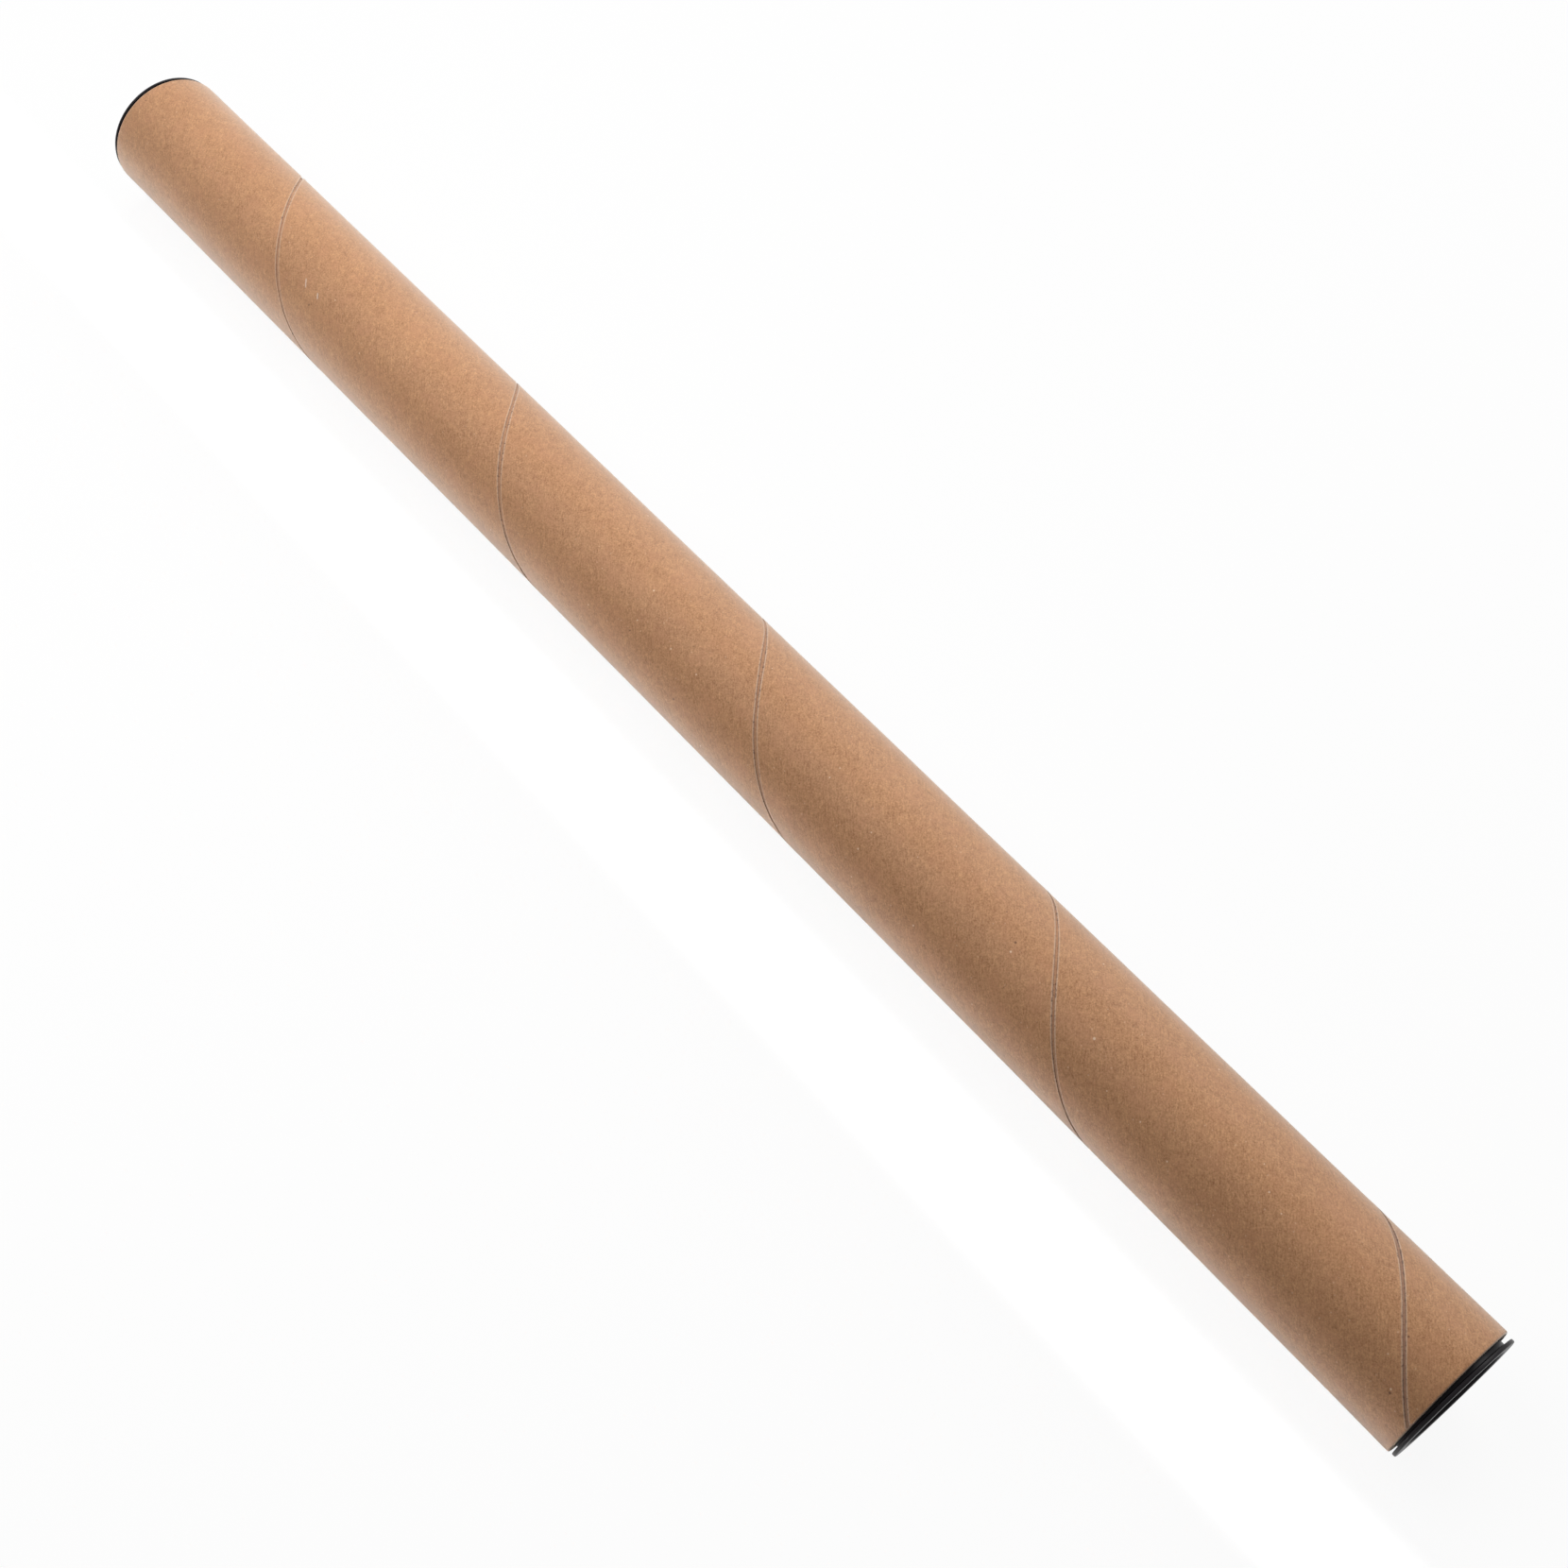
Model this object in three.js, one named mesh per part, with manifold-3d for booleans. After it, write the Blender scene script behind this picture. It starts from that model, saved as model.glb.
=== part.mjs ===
// Cardboard storage tube: a spiral-wound kraft tube with a black plastic plug in each end.
// Millimetres, +Z up. The tube lies along X on one narrow facet, with its near end at +X.
// The origin is under the middle of the whole object, on the surface that it lies on.

import * as THREE from 'three';
import { mergeVertices } from 'three/addons/utils/BufferGeometryUtils.js';
import Module from 'manifold-3d';

// Card tube
const tubeDiameter = 35;
const tubeLength = 489;
const wallThickness = 1.6;
const edgeRadius = 0.5;          // outer corner of each cut end
const boreChamfer = 0.3;         // inner corner of each cut end

// The plies are strips of card, wound side by side without meeting quite
const stripWidth = 74.5;
const plyThickness = 0.3;
const plyGap = 1.2;               // between the two edges of a strip, along the tube
const seamAngleAtNearEnd = 152.2; // degrees about X, from +Y towards +Z

// Plastic plug
const flangeDiameter = 34.3;
const flangeThickness = 0.9;
const flangeEdgeRadius = 0.3;
const insertDepth = 12;
const insertClearance = 0.3;     // between the beads and the bore
const beadHeight = 0.3;
const beadHalfWidth = 0.8;
const beadDepths = [3.4, 7.2];   // from the underside of the flange
const plugWall = 1.2;
const plugFloor = 1.2;
const recessDraft = 1.5;         // degrees
const recessFillet = 1;
const noseTaperLength = 2.4;
const noseTaper = 0.7;
const gateDiameter = 4;          // moulding gate in the middle of the recess
const gateHeight = 0.3;

// How far each plug has been pressed in
const nearCapGap = 0.95;         // from the cut end to the flange, on the axis
const nearCapTilt = 1.15;        // degrees
const nearCapTiltTowards = 22.8; // degrees about X of the side that stands further out
const farCapGap = 0.6;

// Faces round the tube and the plugs
const tubeSides = 48;
const plugSides = 48;
const cornerSteps = 3;

const wasm = await Module();
wasm.setup();

const degrees = THREE.MathUtils.degToRad;
const tubeRadius = tubeDiameter / 2;
const boreRadius = tubeRadius - wallThickness;

const kraftCard = new THREE.MeshStandardMaterial({ color: 0xa98459, roughness: 0.85, metalness: 0 });
const blackPlastic = new THREE.MeshStandardMaterial({ color: 0x17181a, roughness: 0.42, metalness: 0 });

function solidFrom(geometry) {
  geometry.deleteAttribute('normal');
  geometry.deleteAttribute('uv');
  const merged = mergeVertices(geometry);
  const vertProperties = new Float32Array(merged.attributes.position.array);
  const triVerts = new Uint32Array(merged.index.array);
  return new wasm.Manifold(new wasm.Mesh({ numProp: 3, vertProperties, triVerts }));
}

function geometryFrom(solid) {
  const { vertProperties, triVerts } = solid.getMesh();
  const geometry = new THREE.BufferGeometry();
  geometry.setAttribute('position', new THREE.BufferAttribute(vertProperties, 3));
  geometry.setIndex(new THREE.BufferAttribute(triVerts, 1));
  geometry.computeVertexNormals();
  return geometry;
}

// Angle about X of a corner of a section. Corner 0 is half a side past the top, so a side lies flat below.
function cornerAngle(number, sides) {
  return Math.PI / 2 + (2 * Math.PI * (number + 0.5)) / sides;
}

// Turns a profile, drawn with x as the radius and y along the axis, into a solid that lies along X.
function turned(profile, sides) {
  const lathe = new THREE.LatheGeometry(profile, sides, Math.PI / sides);
  lathe.rotateZ(-Math.PI / 2);
  return solidFrom(lathe);
}

// The axial advance of a strip's edge in one turn follows from the strip's width and the tube's girth.
function windingLead(girth) {
  return (stripWidth * girth) / Math.sqrt(girth ** 2 - stripWidth ** 2);
}

// A long thin bar, wound round the tube as a ply's strip is: its length goes round, its height outwards
// and its width along the tube. Each step of its length spans one side of the tube.
function woundBar(innerRadius, outerRadius, width, angleAtNearEnd) {
  const lead = windingLead(Math.PI * tubeDiameter);
  const nearEnd = tubeLength / 2;
  const advance = lead / tubeSides;
  const overrun = 2 * (plyGap + edgeRadius);
  const startCorner = ((degrees(angleAtNearEnd) - Math.PI / 2) / (2 * Math.PI)) * tubeSides - 0.5;
  const first = Math.floor(startCorner - (tubeLength + overrun) / advance);
  const last = Math.ceil(startCorner + overrun / advance);
  const steps = last - first;
  const bar = new THREE.BoxGeometry(steps, outerRadius - innerRadius, width, steps, 1, 1);
  bar.translate((first + last) / 2, (innerRadius + outerRadius) / 2, 0);
  const position = bar.attributes.position;
  for (let i = 0; i < position.count; i += 1) {
    const corner = position.getX(i);
    const radius = position.getY(i);
    const angle = cornerAngle(corner, tubeSides);
    const along = nearEnd + (corner - startCorner) * advance - position.getZ(i);
    position.setXYZ(i, along, radius * Math.cos(angle), radius * Math.sin(angle));
  }
  return solidFrom(bar);
}

function cardTube() {
  const half = tubeLength / 2;
  const section = new THREE.Path();
  section.moveTo(boreRadius, -half + boreChamfer);
  section.lineTo(boreRadius + boreChamfer, -half);
  section.absarc(tubeRadius - edgeRadius, -half + edgeRadius, edgeRadius, -Math.PI / 2, 0, false);
  section.absarc(tubeRadius - edgeRadius, half - edgeRadius, edgeRadius, 0, Math.PI / 2, false);
  section.lineTo(boreRadius + boreChamfer, half);
  section.lineTo(boreRadius, half - boreChamfer);
  section.lineTo(boreRadius, -half + boreChamfer);
  const wall = turned(section.getPoints(cornerSteps), tubeSides);
  const outerSeam = woundBar(tubeRadius - plyThickness, tubeRadius + 1, plyGap, seamAngleAtNearEnd);
  return wall.subtract(outerSeam);
}

// A moulded plug: a cup that is open outwards, with a flange round its mouth and two beads round its wall.
// Its axis is X, the flange's underside is at 0 and the flange faces +X.
function plug() {
  const beadRadius = boreRadius - insertClearance;
  const insertRadius = beadRadius - beadHeight;
  const recessBottom = plugFloor - insertDepth;
  const mouthRadius = insertRadius - plugWall;
  const recessRadius = mouthRadius - (flangeThickness - recessBottom) * Math.tan(degrees(recessDraft));
  const section = new THREE.Path();
  section.moveTo(0, -insertDepth);
  section.lineTo(insertRadius - noseTaper, -insertDepth);
  section.lineTo(insertRadius, noseTaperLength - insertDepth);
  for (const depth of [...beadDepths].reverse()) {
    section.lineTo(insertRadius, -depth - beadHalfWidth);
    section.quadraticCurveTo(beadRadius + beadHeight, -depth, insertRadius, -depth + beadHalfWidth);
  }
  section.lineTo(insertRadius, 0);
  section.lineTo(flangeDiameter / 2, 0);
  const edgeCentreRadius = flangeDiameter / 2 - flangeEdgeRadius;
  section.absarc(edgeCentreRadius, flangeThickness - flangeEdgeRadius, flangeEdgeRadius, 0, Math.PI / 2, false);
  section.lineTo(mouthRadius + flangeEdgeRadius, flangeThickness);
  section.lineTo(mouthRadius, flangeThickness - flangeEdgeRadius);
  section.lineTo(recessRadius, recessBottom + recessFillet);
  section.quadraticCurveTo(recessRadius, recessBottom, recessRadius - recessFillet, recessBottom);
  section.lineTo(gateDiameter / 2, recessBottom);
  section.lineTo(gateDiameter / 2, recessBottom + gateHeight);
  section.lineTo(0, recessBottom + gateHeight);
  return turned(section.getPoints(cornerSteps), plugSides);
}

const tubeBody = new THREE.Mesh(geometryFrom(cardTube()), kraftCard);
tubeBody.name = 'tube_body';

// Pressed in crooked: it leans about the middle of its beads, away from the side that stands further out.
const leanDepth = (Math.min(...beadDepths) + Math.max(...beadDepths)) / 2;
const standsOut = degrees(nearCapTiltTowards);
const leanAxis = new THREE.Vector3(0, -Math.sin(standsOut), Math.cos(standsOut));
const nearCap = new THREE.Mesh(geometryFrom(plug()), blackPlastic);
nearCap.name = 'near_cap';
nearCap.position.x = leanDepth;
const nearCapLean = new THREE.Group();
nearCapLean.position.x = tubeLength / 2 + nearCapGap - leanDepth;
nearCapLean.quaternion.setFromAxisAngle(leanAxis, -degrees(nearCapTilt));
nearCapLean.add(nearCap);

const farCap = new THREE.Mesh(geometryFrom(plug()), blackPlastic);
farCap.name = 'far_cap';
farCap.rotation.z = Math.PI;
farCap.position.x = -tubeLength / 2 - farCapGap;

const storageTube = new THREE.Group();
storageTube.add(tubeBody, nearCapLean, farCap);

// The middle of its whole length stands over the origin, and its lowest side lies on the surface.
const extent = new THREE.Box3().setFromObject(storageTube, true);
storageTube.position.x = -(extent.min.x + extent.max.x) / 2;
storageTube.position.z = -extent.min.z;

export default storageTube;
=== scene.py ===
# Cardboard storage tube: kraft card wound from strips, with a black plastic plug in each end.
# It lies along X on a pale floor. Everything is in metres.
import math
import bmesh
import bpy
from mathutils import Matrix, Vector, noise


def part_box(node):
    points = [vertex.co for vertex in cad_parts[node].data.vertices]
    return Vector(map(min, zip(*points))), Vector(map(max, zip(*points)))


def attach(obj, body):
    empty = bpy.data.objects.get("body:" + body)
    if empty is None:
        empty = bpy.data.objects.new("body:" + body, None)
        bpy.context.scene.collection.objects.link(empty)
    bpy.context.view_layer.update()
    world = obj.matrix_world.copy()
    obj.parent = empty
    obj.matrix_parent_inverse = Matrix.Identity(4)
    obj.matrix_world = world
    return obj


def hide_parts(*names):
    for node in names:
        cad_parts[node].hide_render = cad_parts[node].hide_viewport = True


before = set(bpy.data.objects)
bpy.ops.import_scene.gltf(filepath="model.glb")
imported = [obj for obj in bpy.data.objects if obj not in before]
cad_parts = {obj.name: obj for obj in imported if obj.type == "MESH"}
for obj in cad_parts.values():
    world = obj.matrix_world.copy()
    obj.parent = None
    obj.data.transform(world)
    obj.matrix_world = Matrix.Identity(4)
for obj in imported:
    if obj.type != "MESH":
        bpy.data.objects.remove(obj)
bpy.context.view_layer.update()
tubeLow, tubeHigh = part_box("tube_body")
axisHeight = (tubeLow.z + tubeHigh.z) / 2
tubeRadius = (tubeHigh.z - tubeLow.z) / 2
farEnd, nearEnd = tubeLow.x, tubeHigh.x
print("frame loaded:", ", ".join(sorted(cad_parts)))


# Small helpers

def axisMatrix(x=0.0):
    return Matrix.Translation((x, 0, axisHeight))  # a place on the tube's axis


def radial(co):
    return Vector((0, co.y, co.z - axisHeight))


def angleOf(co):
    return math.atan2(co.z - axisHeight, co.y)  # about X, from +Y towards +Z


def openEdges(bm):
    return sum(not edge.is_manifold for edge in bm.edges)


def pieceFrom(bm, name, finish, sharpAngle=30):  # the angle in degrees
    mesh = bpy.data.meshes.new(name)
    for face in bm.faces:
        face.smooth = True
    bm.to_mesh(mesh)
    bm.free()
    mesh.set_sharp_from_angle(angle=math.radians(sharpAngle))
    piece = bpy.data.objects.new(name, mesh)
    bpy.context.scene.collection.objects.link(piece)
    mesh.materials.append(finish)
    return piece


# Shader maths: a Value is a node's output, and sums on it add Math nodes

class Value:
    def __init__(self, finish, socket):
        self.finish = finish
        self.socket = socket

    def __add__(self, other):
        return self.finish.maths("ADD", self, other)

    def __radd__(self, other):
        return self.finish.maths("ADD", other, self)

    def __sub__(self, other):
        return self.finish.maths("SUBTRACT", self, other)

    def __rsub__(self, other):
        return self.finish.maths("SUBTRACT", other, self)

    def __mul__(self, other):
        return self.finish.maths("MULTIPLY", self, other)

    def __rmul__(self, other):
        return self.finish.maths("MULTIPLY", other, self)

    def __pow__(self, other):
        return self.finish.maths("POWER", self, other)

    def __abs__(self):
        return self.finish.maths("ABSOLUTE", self)

    def clamped(self):
        return self.finish.node("ShaderNodeClamp", {}, {"Value": self})

    def step(self, low, high):  # 0 below low, 1 above high, smooth between
        inputs = {"Value": self, "From Min": low, "From Max": high}
        return self.finish.node("ShaderNodeMapRange", {"interpolation_type": "SMOOTHSTEP"}, inputs)


class Finish:
    def __init__(self, owner):  # a material or a world
        self.owner = owner
        owner.use_nodes = True
        self.tree = owner.node_tree
        self.tree.nodes.clear()

    def node(self, kind, settings=None, inputs=None, output=0):  # any node, by type
        made = self.tree.nodes.new(kind)
        for name, value in (settings or {}).items():
            setattr(made, name, value)
        for key, value in (inputs or {}).items():
            if isinstance(value, Value):
                self.tree.links.new(value.socket, made.inputs[key])
            else:
                made.inputs[key].default_value = value
        return Value(self, made.outputs[output]) if made.outputs else made

    def maths(self, operation, *terms):
        return self.node("ShaderNodeMath", {"operation": operation}, dict(enumerate(terms)))

    def stretched(self, vector, factors):
        return self.node("ShaderNodeVectorMath", {"operation": "MULTIPLY"}, {0: vector, 1: factors})

    def noise(self, vector, scale, detail=2.0, roughness=0.5):
        inputs = {"Vector": vector, "Scale": scale, "Detail": detail, "Roughness": roughness}
        return self.node("ShaderNodeTexNoise", {}, inputs, "Fac")

    def mixed(self, factor, first, second):
        inputs = {0: factor, 6: first, 7: second}
        return self.node("ShaderNodeMix", {"data_type": "RGBA"}, inputs, 2)

    def bump(self, height, distance, normal=None):
        inputs = {"Height": height, "Distance": distance, "Strength": 1}
        if normal:
            inputs["Normal"] = normal
        return self.node("ShaderNodeBump", {}, inputs, "Normal")

    def seen(self):  # 1 where it is seen, also in a reflection or through glass
        kinds = ("Camera", "Glossy", "Transmission")
        direct, mirrored, through = (
            self.node("ShaderNodeLightPath", {}, {}, f"Is {kind} Ray") for kind in kinds
        )
        return (direct + mirrored + through).clamped()

    def surface(self, shader, output="ShaderNodeOutputMaterial"):
        self.node(output, {}, {"Surface": shader})
        return self.owner


# Kraft card

kraft = {
    "light": (0.645, 0.345, 0.170, 1),
    "dark": (0.318, 0.137, 0.057, 1),
    "pink": (0.520, 0.244, 0.126, 1),
    "gapFloor": (0.270, 0.165, 0.130, 1),
    # the cut card's colour, also the painted highlight beside the gap
    "cutEdgeAndHighlight": (0.700, 0.520, 0.390, 1),
    "speck": (0.120, 0.050, 0.028, 1),
    "fleck": (0.860, 0.660, 0.480, 1),
    "scuff": (0.880, 0.820, 0.740, 1),
    # painted shadow along the gap's edges
    "shadowLine": (0.140, 0.085, 0.072, 1),
    "roughness": 0.55,
    "specular": 0.23,
    "sheen": 0.62,
    "sheenTint": (1.0, 0.96, 0.89, 1),
    "fineFibre": (650, 2600, 1),    # noise cells a metre, along and across the strip
    "longFibre": (130, 900, 1),
    "grain": 2300,                  # noise cells a metre all ways, as the three below
    "mottle": 620,
    "cloud": 48,
    "blush": 190,
    "blushShare": 0.3,
    "tone": {"grain": 1.75, "fineFibre": 1.2, "mottle": 0.75, "longFibre": 0.35, "cloud": 0.3},
    # cells a metre, share of them drawn, size in cells, softness, strength, colour
    "spots": [
        (330, 0.30, 0.085, 0.03, 0.62, "speck"),
        (760, 0.25, 0.20, 0.06, 0.35, "speck"),
        (410, 0.22, 0.12, 0.04, 0.65, "fleck"),
        (1100, 0.25, 0.26, 0.10, 0.30, "fleck"),
    ],
    "plyRing": 0.0004,              # from one ply to the next in a cut end
    "endBand": (0.00035, 0.0001),   # where the cut end's look begins and is full, from the end
    "fineBump": 0.00004,
    "coarseBump": 0.00015,
}

# How the gap between the strip's edges looks, in metres
seamLook = {
    "wearAndShading": (70, 1, 1),             # noise cells a metre, along and across the strip
    "nibble": (1400, 1400, 1),
    "edgeSoftness": 0.00003,
    "towardsNearEnd": (0.12, 0.19),         # darker towards the near end, from the first x to the second
    # the painted shadow lines along the gap's edges
    "lineWidth": 0.0001,
    "lineWander": 0.0005,
    "edgeHighlight": (0.00015, 0.00045),     # painted highlight beside the gap, from the gap's edge: whole until the first, gone at the second
    "pits": (0.0001, 0.0004),
}

# Marks that the card picked up: x, angle about the axis in degrees,
# then the half length along the strip and the half width, or the radius of a dot
scuffs = [
    (-0.1495, 124, 0.0011, 0.00018),
    (-0.1554, 123, 0.0016, 0.00016),
]
darkDots = [
    (-0.1504, 135.5, 0.00030),
    (0.1158, 100.4, 0.00032),
    (0.0102, 156.9, 0.00030),
    (-0.0100, 139.0, 0.00026),
    (0.2369, 141.4, 0.00034),
    (0.2320, 105.0, 0.00026),
]
paleDots = [
    (0.1166, 107.8, 0.00028),
    (0.1437, 110.2, 0.00034),
]


def tubePoint(x, degrees):
    a = math.radians(degrees)
    return Vector((x, tubeRadius * math.cos(a), axisHeight + tubeRadius * math.sin(a)))


def kraftFinish():
    f = Finish(bpy.data.materials.new("kraftCard"))
    place = f.node("ShaderNodeTexCoord", {}, {}, "Object")
    strip = f.node("ShaderNodeUVMap", {"uv_map": "strip"}, {}, "UV")

    def dots(spots):
        total = 0
        for x, degrees, size in spots:
            centre = tubePoint(x, degrees)
            away = f.node("ShaderNodeVectorMath", {"operation": "DISTANCE"},
                          {0: place, 1: centre}, "Value")
            total = total + (1 - away.step(size * 0.55, size * 1.25))
        return total

    # fibres run along the strip, grain and clouds lie anywhere
    fineFibre = f.noise(f.stretched(strip, kraft["fineFibre"]), 1, 3, 0.65)
    longFibre = f.noise(f.stretched(strip, kraft["longFibre"]), 1, 2, 0.55)
    grain = f.noise(place, kraft["grain"], 3, 0.7)
    mottle = f.noise(place, kraft["mottle"], 3, 0.65)
    cloud = f.noise(place, kraft["cloud"], 3, 0.55)
    blush = f.noise(place, kraft["blush"], 2, 0.5)
    weight = kraft["tone"]
    tone = 0.5 + (grain - 0.5) * weight["grain"] + (fineFibre - 0.5) * weight["fineFibre"]
    tone = tone + (mottle - 0.5) * weight["mottle"] + (longFibre - 0.5) * weight["longFibre"]
    tone = tone + (cloud - 0.5) * weight["cloud"]
    colour = f.mixed(tone.clamped(), kraft["dark"], kraft["light"])
    colour = f.mixed(blush.step(0.45, 0.7) * kraft["blushShare"], colour, kraft["pink"])

    # the paper's own specks and flecks, one draw for each cell
    def scattered(density, share, size, softness):
        cells = {"Vector": place, "Scale": density, "Randomness": 1}
        away = f.node("ShaderNodeTexVoronoi", {}, cells, "Distance")
        draw = f.node("ShaderNodeTexVoronoi", {}, cells, "Color")
        drawn = f.node("ShaderNodeSeparateColor", {}, {0: draw}, "Red")
        return ((drawn - (1 - share)) * (size / share) - away).step(0, softness)

    for density, share, size, softness, strength, tint in kraft["spots"]:
        colour = f.mixed(scattered(density, share, size, softness) * strength, colour, kraft[tint])

    # the gap between the strip's edges shows the ply below, greyer, between two painted shadow
    # lines, with a painted highlight along each strip edge
    x = f.node("ShaderNodeSeparateXYZ", {}, {0: place}, "X")
    y = f.node("ShaderNodeSeparateXYZ", {}, {0: place}, "Y")
    z = f.node("ShaderNodeSeparateXYZ", {}, {0: place}, "Z") - axisHeight
    depth = tubeRadius - (y * y + z * z) ** 0.5
    across = f.node("ShaderNodeSeparateXYZ", {}, {0: strip}, "Y")
    fromSeam = card["stripWidth"] / 2 - abs(across - card["stripWidth"] / 2)
    nearSide = 1 - across.step(card["stripWidth"] * 0.45, card["stripWidth"] * 0.55)
    halfGap = card["plyGap"] / 2 * math.cos(windAngle)
    wearAndShading = f.noise(f.stretched(strip, seamLook["wearAndShading"]), 1, 2, 0.6)
    nibble = f.noise(f.stretched(strip, seamLook["nibble"]), 1, 2, 0.6)
    inGap = (halfGap - fromSeam).step(-seamLook["edgeSoftness"], seamLook["edgeSoftness"])
    fromEdge = abs(fromSeam - halfGap)
    # the seam's lines and gap floor grow darker towards the near end
    towardsNearEnd = x.step(*seamLook["towardsNearEnd"])
    lineWidth = seamLook["lineWidth"]
    # painted shadow: dark lines along the gap's edges, where its walls shade it
    line = (lineWidth - fromEdge + (nibble - 0.5) * seamLook["lineWander"]).step(0, lineWidth)
    lineWeight = (0.2 + nearSide * 0.25 + wearAndShading.step(0.4, 0.6) * 0.3) * (0.75 + towardsNearEnd * 0.25)
    # painted highlight: a pale band along each strip edge beside the gap
    edgeHighlight = (1 - (fromSeam - halfGap).step(*seamLook["edgeHighlight"])) * (1 - inGap)
    pits = nibble.step(0.56, 0.66) * (1 - fromEdge.step(*seamLook["pits"]))
    colour = f.mixed(edgeHighlight * (0.25 + wearAndShading * 0.5), colour, kraft["cutEdgeAndHighlight"])
    colour = f.mixed(inGap * (0.1 + wearAndShading * 0.3 + towardsNearEnd * 0.3), colour, kraft["gapFloor"])
    colour = f.mixed(line * lineWeight, colour, kraft["shadowLine"])
    colour = f.mixed(pits * wearAndShading.step(0.40, 0.55) * 0.75, colour, kraft["speck"])

    # cut ends show the plies as fine rings
    fromMiddle = abs(x - (nearEnd + farEnd) / 2)
    begins, full = ((nearEnd - farEnd) / 2 - inset for inset in kraft["endBand"])
    onEnd = fromMiddle.step(begins, full)
    rings = f.maths("SINE", depth * (2 * math.pi / kraft["plyRing"])).step(0.2, 0.9)
    endColour = f.mixed(rings * 0.5, kraft["cutEdgeAndHighlight"], kraft["dark"])
    colour = f.mixed(onEnd * 0.8, colour, endColour)

    # marks of use
    scratch = 0
    for sx, degrees, halfLength, halfWidth in scuffs:
        centre = tubePoint(sx, degrees)
        offset = f.node("ShaderNodeVectorMath", {"operation": "SUBTRACT"},
                        {0: place, 1: centre}, "Vector")
        lengthwise = f.node("ShaderNodeVectorMath", {"operation": "DOT_PRODUCT"},
                            {0: offset, 1: stripDirection(degrees)}, "Value")
        away = f.node("ShaderNodeVectorMath", {"operation": "LENGTH"}, {0: offset}, "Value")
        aside = f.maths("MAXIMUM", away * away - lengthwise * lengthwise, 0) ** 0.5
        withinLength = 1 - abs(lengthwise).step(halfLength * 0.5, halfLength)
        withinWidth = 1 - aside.step(halfWidth * 0.5, halfWidth * 1.6)
        scratch = scratch + withinLength * withinWidth
    colour = f.mixed(scratch * (0.25 + fineFibre * 0.5), colour, kraft["scuff"])
    colour = f.mixed(dots(darkDots) * 0.75, colour, kraft["speck"])
    colour = f.mixed(dots(paleDots) * 0.7, colour, kraft["fleck"])

    rough = kraft["roughness"] + (fineFibre - 0.5) * 0.16 + inGap * 0.12
    height = (fineFibre - 0.5) * 0.5 + (grain - 0.5) * 0.5 + (longFibre - 0.5) * 0.4
    normal = f.bump(height, kraft["fineBump"])
    normal = f.bump(mottle * 0.4 + cloud, kraft["coarseBump"], normal)
    shader = f.node("ShaderNodeBsdfPrincipled", {}, {
        "Base Color": colour, "Roughness": rough, "Normal": normal,
        "Specular IOR Level": kraft["specular"],
        "Sheen Weight": kraft["sheen"], "Sheen Tint": kraft["sheenTint"],
    })
    return f.surface(shader)


# Black plastic

plastic = {
    "body": (0.0070, 0.0054, 0.0068, 1),
    "worn": (0.030, 0.024, 0.028, 1),
    "roughness": 0.38,
    "specular": 0.12,
    "cloud": 240,                   # noise cells a metre, as the three below
    "grain": 4200,
    "scratches": (900, 5200, 700),
    "dust": 2600,
    "fineBump": 0.000012,
    "coarseBump": 0.00006,
}


def plasticFinish():
    f = Finish(bpy.data.materials.new("blackPlastic"))
    place = f.node("ShaderNodeTexCoord", {}, {}, "Object")
    cloud = f.noise(place, plastic["cloud"], 3, 0.6)
    grain = f.noise(place, plastic["grain"], 2, 0.5)
    scratches = f.noise(f.stretched(place, plastic["scratches"]), 1, 3, 0.7).step(0.66, 0.76)
    dust = f.noise(place, plastic["dust"], 2, 0.7).step(0.68, 0.8)
    colour = f.mixed(scratches * 0.5 + dust * 0.35, plastic["body"], plastic["worn"])
    rough = plastic["roughness"] + (cloud - 0.5) * 0.22 + scratches * 0.12
    normal = f.bump(grain + scratches * 0.6, plastic["fineBump"])
    normal = f.bump(cloud, plastic["coarseBump"], normal)
    shader = f.node("ShaderNodeBsdfPrincipled", {}, {
        "Base Color": colour, "Roughness": rough, "Normal": normal,
        "Specular IOR Level": plastic["specular"],
    })
    return f.surface(shader)


# The wound card tube

card = {
    "stripWidth": 0.0745,
    "diameter": 0.035,
    "wall": 0.0016,
    "plyThickness": 0.00023,
    "plyGap": 0.0008,          # along the tube
    "lip": 0.00006,            # broken corner of each strip edge
    "edgeBands": (0.0006, 0.002),  # mesh edges beside the gap, from its edge
    "bodyCuts": 22,            # over the rest of the strip
    "boreCuts": 10,
    "seamAngle": 152.2,        # where the seam meets the near end, degrees
    "innerSeamAngle": 303,     # the inner ply's, in the bore
    "edgeRadius": 0.0005,
    "edgeSteps": 4,
    "endRing": 0.0009,         # from the outside to a ring of edges on the cut end
    "boreChamfer": 0.0003,
    "stepsPerTurn": 192,
    "seamBand": (0.0003, 0.0012),  # this far from the seam the card moves with the strip's edge
    "edgeLift": 0.00005,
    "liftScale": 90,           # noise cells a metre, as the two scales below
    "wander": 0.00035,
    "wanderScale": 45,
    "waviness": 0.00005,
    "wavinessScale": 35,
    "pinch": 0.22,             # share of the gap that closes on the -Y side
    "pinchFrom": (0.04, 0.08), # from the near end: where the pinch starts and where it is whole
}
girth = math.pi * card["diameter"]
lead = card["stripWidth"] * girth / math.sqrt(girth ** 2 - card["stripWidth"] ** 2)
windAngle = math.atan(lead / girth)            # between the seam and the tube's girth


def stripDirection(degrees):
    a = math.radians(degrees)
    around = math.cos(windAngle)
    return Vector((math.sin(windAngle), -math.sin(a) * around, math.cos(a) * around))


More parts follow.
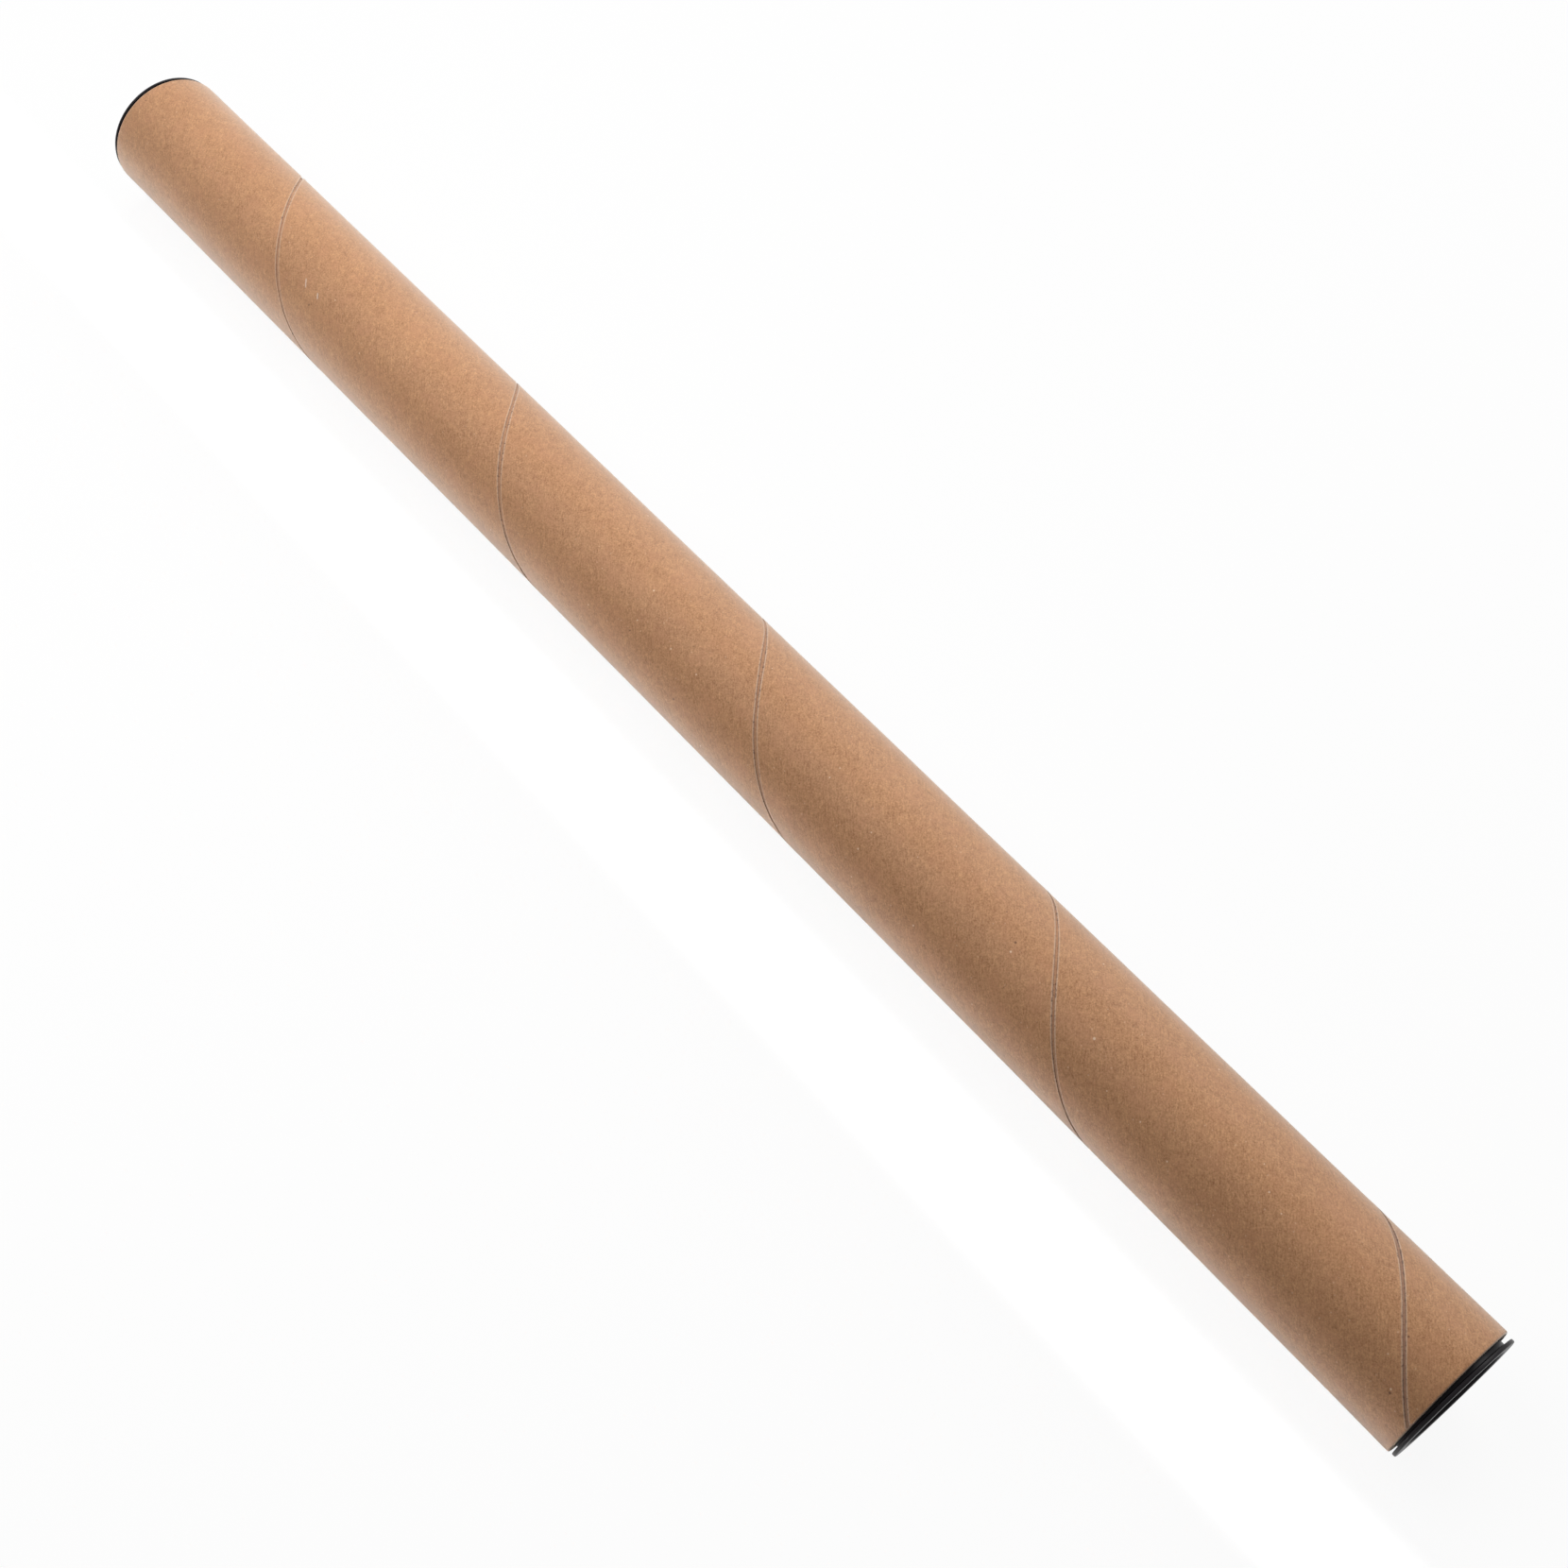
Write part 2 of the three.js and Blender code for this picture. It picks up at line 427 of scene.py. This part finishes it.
# One lead's length of the skin's outline, from gap to gap, spun along a helix
def woundSkin(bm, radius, inwards, seamAngle, cuts):
    gap, ply, lip = card["plyGap"] / 2, card["plyThickness"], card["lip"]
    corners = [(0, ply), (gap, ply), (gap, lip), (gap + lip, 0)]
    corners += [(gap + band, 0) for band in card["edgeBands"]]
    corners += [(lead - place, depth) for place, depth in reversed(corners)]
    turns = math.ceil((nearEnd - farEnd) / lead) + 1
    start = nearEnd - turns * lead
    a = math.radians(seamAngle)
    verts = []
    for place, depth in corners:
        r = radius + depth * inwards
        verts.append(bm.verts.new((start + place, r * math.cos(a), axisHeight + r * math.sin(a))))
    edges = [bm.edges.new(pair) for pair in zip(verts, verts[1:])]
    longest = max(edges, key=lambda edge: edge.calc_length())
    bmesh.ops.subdivide_edges(bm, edges=[longest], cuts=cuts)
    bmesh.ops.spin(
        bm, geom=bm.verts[:] + bm.edges[:], cent=(0, 0, axisHeight), axis=(1, 0, 0),
        dvec=(lead / card["stepsPerTurn"], 0, 0), angle=2 * math.pi, steps=card["stepsPerTurn"],
    )
    turn = bm.verts[:] + bm.edges[:] + bm.faces[:]
    for i in range(1, turns + 1):
        copied = bmesh.ops.duplicate(bm, geom=turn)["geom"]
        copiedVerts = [item for item in copied if isinstance(item, bmesh.types.BMVert)]
        bmesh.ops.translate(bm, verts=copiedVerts, vec=(lead * i, 0, 0))
    bmesh.ops.remove_doubles(bm, verts=bm.verts, dist=0.00001)


def trimmed(bm, x, side):
    geometry = bm.verts[:] + bm.edges[:] + bm.faces[:]
    bmesh.ops.bisect_plane(
        bm, geom=geometry, dist=1e-7, plane_co=(x, 0, 0), plane_no=(side, 0, 0), clear_outer=True,
    )


def openLoop(bm, x):
    return [e for e in bm.edges if e.is_boundary and all(abs(v.co.x - x) < 1e-5 for v in e.verts)]


# Pulls the open edge on by dx, at a share of its radius or at one radius all round
def drawnOn(bm, loop, dx, share=1.0, radius=None):
    grown = bmesh.ops.extrude_edge_only(bm, edges=loop)["geom"]
    verts = [item for item in grown if isinstance(item, bmesh.types.BMVert)]
    for v in verts:
        spoke = radial(v.co)
        length = radius or spoke.length * share
        v.co = Vector((v.co.x + dx, 0, axisHeight)) + spoke.normalized() * length
    return [item for item in grown if isinstance(item, bmesh.types.BMEdge)]


def seamPlace(co, seamAngle):
    turned = (angleOf(co) - math.radians(seamAngle)) / (2 * math.pi)
    place = (co.x - nearEnd) / lead - turned
    return (place - round(place)) * lead          # along the tube, from the nearest seam


# The strip's edges lift a little, the gap's width wanders and the wall isn't quite true
def roughened(bm):
    bandStart, bandEnd = card["seamBand"]
    pinchStart, pinchFull = card["pinchFrom"]
    for v in bm.verts:
        spoke = radial(v.co)
        away = seamPlace(v.co, card["seamAngle"])
        if bandStart < abs(away) < bandEnd:
            elsewhere = v.co * card["liftScale"] + Vector((7, 0, 0))  # another part of the noise
            lift = (0.5 + noise.noise(elsewhere)) * card["edgeLift"]
            wander = noise.noise(v.co * card["wanderScale"]) * card["wander"]
            turned = max(0.0, -spoke.normalized().y) ** 2
            fromEnd = nearEnd - v.co.x
            settled = min(1.0, max(0.0, (pinchFull - fromEnd) / (pinchFull - pinchStart)))
            closed = card["pinch"] * card["plyGap"] * turned * (1 - settled)
            v.co.x += math.copysign(wander - closed, away)
            if spoke.length > tubeRadius - card["plyThickness"] / 2:
                v.co += spoke.normalized() * lift
        v.co += spoke.normalized() * noise.noise(v.co * card["wavinessScale"]) * card["waviness"]


# Lays the strip out flat, in metres along and across it
def unwrapped(bm, seamAngle):
    layer = bm.loops.layers.uv.new("strip")
    seam = math.radians(seamAngle)
    for face in bm.faces:
        centre = face.calc_center_median()
        middle = angleOf(centre)
        turn = math.floor((centre.x - nearEnd) / lead - (middle - seam) / (2 * math.pi))
        for loop in face.loops:
            a = middle + math.remainder(angleOf(loop.vert.co) - middle, 2 * math.pi)
            wound = (a - seam) / (2 * math.pi) * girth
            x = loop.vert.co.x - nearEnd
            along = (wound + turn * girth) * math.cos(windAngle) + x * math.sin(windAngle)
            acrossStrip = (x - turn * lead) * math.cos(windAngle) - wound * math.sin(windAngle)
            loop[layer].uv = (along, acrossStrip)


def cardTube(finish):
    outer = bmesh.new()
    woundSkin(outer, tubeRadius, -1, card["seamAngle"], card["bodyCuts"])
    bore = bmesh.new()
    boreRadius = tubeRadius - card["wall"]
    woundSkin(bore, boreRadius, 1, card["innerSeamAngle"], card["boreCuts"])
    unwrapped(outer, card["seamAngle"])
    unwrapped(bore, card["innerSeamAngle"])
    roughened(outer)
    for x, side in ((farEnd, -1), (nearEnd, 1)):
        trimmed(outer, x - side * card["edgeRadius"], side)
        trimmed(bore, x - side * card["boreChamfer"], side)
    mesh = bpy.data.meshes.new("bore")
    bore.to_mesh(mesh)
    bore.free()
    outer.from_mesh(mesh)
    bpy.data.meshes.remove(mesh)
    for x, side in ((farEnd, -1), (nearEnd, 1)):
        loop = openLoop(outer, x - side * card["edgeRadius"])
        boreLoop = openLoop(outer, x - side * card["boreChamfer"])
        before, size = 0.0, tubeRadius
        for i in range(1, card["edgeSteps"] + 1):  # the rounded outer corner
            a = math.pi / 2 * i / card["edgeSteps"]
            newSize = tubeRadius - card["edgeRadius"] * (1 - math.cos(a))
            dx = side * card["edgeRadius"] * (math.sin(a) - before)
            loop = drawnOn(outer, loop, dx, newSize / size)
            before, size = math.sin(a), newSize
        loop = drawnOn(outer, loop, 0, radius=tubeRadius - card["endRing"])
        loop = drawnOn(outer, loop, 0, radius=boreRadius + card["boreChamfer"])
        bmesh.ops.bridge_loops(outer, edges=loop + boreLoop)
    bmesh.ops.recalc_face_normals(outer, faces=outer.faces)
    print("card tube:", len(outer.faces), "faces,", openEdges(outer), "open edges")
    piece = pieceFrom(outer, "kraftTube", finish, 40)
    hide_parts("tube_body")
    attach(piece, "tube")


# The plugs

plug = {
    "flangeRadius": 0.01715,
    "flangeThickness": 0.0009,
    "insertDepth": 0.012,
    "clearance": 0.0003,
    "beadHeight": 0.0003,
    "beadShare": 1.25,         # height of a bead's corner before it is rounded, in bead heights
    "beadHalfWidth": 0.0008,
    "beadDepths": (0.0034, 0.0072),
    "wall": 0.0012,
    "floor": 0.0012,
    "draft": 1.5,              # degrees
    "noseTaper": 0.0007,
    "noseLength": 0.0024,
    "gateRadius": 0.002,
    "gateHeight": 0.0003,
    "steps": 160,
    "roundingSteps": 5,
    "rounding": {
        "nose": 0.0004, "taper": 0.0008, "beadFoot": 0.0002, "beadTop": 0.00055,
        "flangeFoot": 0.0003, "flangeUnderside": 0.00018, "flangeEdge": 0.0003,
        "mouth": 0.0004, "recess": 0.001, "gateFoot": 0.0001, "gateTop": 0.00012,
    },
}
# how far each flange stands from the cut end, and the near plug's lean in degrees
nearSeat = {"gap": 0.00095, "tilt": 1.15, "tiltTowards": 22.8}
farSeat = {"gap": 0.0006}


def plugBody():
    insert = tubeRadius - card["wall"] - plug["clearance"] - plug["beadHeight"]
    floor = plug["floor"] - plug["insertDepth"]
    mouth = insert - plug["wall"]
    recess = mouth - (plug["flangeThickness"] - floor) * math.tan(math.radians(plug["draft"]))
    nose = plug["noseLength"] - plug["insertDepth"]
    beadTop = insert + plug["beadHeight"] * plug["beadShare"]
    flange, thickness = plug["flangeRadius"], plug["flangeThickness"]
    gate, gateTop = plug["gateRadius"], floor + plug["gateHeight"]
    rounded = plug["rounding"]
    # axial place, radius and rounding of each corner, from the nose round to the recess
    corners = [
        (-plug["insertDepth"], 0, 0),
        (-plug["insertDepth"], insert - plug["noseTaper"], rounded["nose"]),
        (nose, insert, rounded["taper"]),
    ]
    for depth in reversed(plug["beadDepths"]):
        corners.append((-depth - plug["beadHalfWidth"], insert, rounded["beadFoot"]))
        corners.append((-depth, beadTop, rounded["beadTop"]))
        corners.append((-depth + plug["beadHalfWidth"], insert, rounded["beadFoot"]))
    corners += [
        (0, insert, rounded["flangeFoot"]),
        (0, flange, rounded["flangeUnderside"]),
        (thickness, flange, rounded["flangeEdge"]),
        (thickness, mouth, rounded["mouth"]),
        (floor, recess, rounded["recess"]),
        (floor, gate, rounded["gateFoot"]),
        (gateTop, gate, rounded["gateTop"]),
        (gateTop, 0, 0),
    ]
    bm = bmesh.new()
    verts = [bm.verts.new((x, 0, r)) for x, r, rounding in corners]
    for pair in zip(verts, verts[1:]):
        bm.edges.new(pair)
    for vert, (x, r, rounding) in zip(verts, corners):
        if rounding:
            bmesh.ops.bevel(
                bm, geom=[vert], offset=rounding, offset_type="OFFSET", affect="VERTICES",
                segments=plug["roundingSteps"], profile=0.5, material=-1,
            )
    bmesh.ops.spin(
        bm, geom=bm.verts[:] + bm.edges[:], cent=(0, 0, 0), axis=(1, 0, 0),
        angle=2 * math.pi, steps=plug["steps"], use_merge=True,
    )
    bmesh.ops.remove_doubles(bm, verts=bm.verts, dist=0.000002)
    bmesh.ops.recalc_face_normals(bm, faces=bm.faces)
    return bm


def seatedPlug(name, node, body, seat, finish):
    bm = plugBody()
    bmesh.ops.transform(bm, matrix=seat, verts=bm.verts)
    print(name + ":", len(bm.faces), "faces,", openEdges(bm), "open edges")
    piece = pieceFrom(bm, name, finish)
    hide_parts(node)
    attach(piece, body)


def plugs(finish):
    # the near plug leans about the middle of its beads
    lean = sum(plug["beadDepths"]) / len(plug["beadDepths"])
    standsOut = math.radians(nearSeat["tiltTowards"])
    axis = Vector((0, -math.sin(standsOut), math.cos(standsOut)))
    turn = Matrix.Rotation(-math.radians(nearSeat["tilt"]), 4, axis)
    near = axisMatrix(nearEnd + nearSeat["gap"] - lean) @ turn @ Matrix.Translation((lean, 0, 0))
    far = axisMatrix(farEnd - farSeat["gap"]) @ Matrix.Rotation(math.pi, 4, "Z")
    seatedPlug("nearPlug", "near_cap", "near_plug", near, finish)
    seatedPlug("farPlug", "far_cap", "far_plug", far, finish)


# Floor, light and camera

studio = {
    "floorSize": 6.0,
    "floorColour": (0.86, 0.86, 0.86, 1),
    "white": (1, 1, 1, 1),
    "whiteShare": 0.93,        # the rest of the floor's look is paper, which shows the shadow
    "worldColour": (1.0, 0.985, 0.965, 1),
    "worldStrength": 0.06,
}
lamps = [
    {"name": "keyLamp", "at": (-0.30, 1.08, 0.86), "to": (0, 0, 0),
     "size": (1.2, 0.8), "watts": 15.5, "spread": 180},
    {"name": "overheadLamp", "at": (-0.22, -0.15, 0.52), "to": (-0.2, 0, 0),
     "size": (0.5, 0.4), "watts": 2.3, "spread": 180},
    # a narrow beam on the floor beside the tube, which lights its lower side from below
    {"name": "bounceLamp", "at": (0, -0.037, 0.32), "to": (0, -0.037, 0),
     "size": (0.8, 0.016), "watts": 0.36, "spread": 3},
]
view = {
    "focal": 51.61,
    "sensor": 36,
    "clipStart": 0.01,
    "elevation": 58.31,        # degrees above the floor
    "azimuth": -40.46,         # degrees from +X, round Z
    "at": (0.2593, -0.1932, 0.4783),
}


def studioFloor():
    f = Finish(bpy.data.materials.new("paleFloor"))
    paper = f.node("ShaderNodeBsdfDiffuse", {}, {"Color": studio["floorColour"]})
    white = f.node("ShaderNodeEmission", {}, {"Color": studio["white"], "Strength": 1})
    share = f.seen() * studio["whiteShare"]
    look = f.surface(f.node("ShaderNodeMixShader", {}, {0: share, 1: paper, 2: white}))
    bm = bmesh.new()
    bmesh.ops.create_grid(bm, x_segments=1, y_segments=1, size=studio["floorSize"] / 2)
    pieceFrom(bm, "studioFloor", look)


# It is white where it is seen, and it lights softly
def studioWorld():
    f = Finish(bpy.data.worlds.new("studioLight"))
    faint = {"Color": studio["worldColour"], "Strength": studio["worldStrength"]}
    soft = f.node("ShaderNodeBackground", {}, faint)
    white = f.node("ShaderNodeBackground", {}, {"Color": studio["white"], "Strength": 1})
    both = f.node("ShaderNodeMixShader", {}, {0: f.seen(), 1: soft, 2: white})
    bpy.context.scene.world = f.surface(both, "ShaderNodeOutputWorld")


def studioLamps():
    for facts in lamps:
        light = bpy.data.lights.new(facts["name"], "AREA")
        light.shape = "RECTANGLE"
        light.size, light.size_y = facts["size"]
        light.energy = facts["watts"]
        light.spread = math.radians(facts["spread"])
        lamp = bpy.data.objects.new(facts["name"], light)
        lamp.location = facts["at"]
        aim = Vector(facts["to"]) - Vector(facts["at"])
        lamp.rotation_euler = aim.to_track_quat("-Z", "Y").to_euler()
        lamp.visible_camera = False
        bpy.context.scene.collection.objects.link(lamp)


def studioCamera():
    lens = bpy.data.cameras.new("camera")
    lens.lens = view["focal"]
    lens.sensor_width = view["sensor"]
    lens.clip_start = view["clipStart"]
    camera = bpy.data.objects.new("camera", lens)
    camera.location = view["at"]
    camera.rotation_euler = (
        math.radians(90 - view["elevation"]), 0, math.radians(90 + view["azimuth"]),
    )
    bpy.context.scene.collection.objects.link(camera)
    bpy.context.scene.camera = camera


cardTube(kraftFinish())
plugs(plasticFinish())
print("pieces made")
studioFloor()
studioWorld()
studioLamps()
studioCamera()
bpy.context.scene.view_settings.view_transform = "Standard"
print("studio ready")
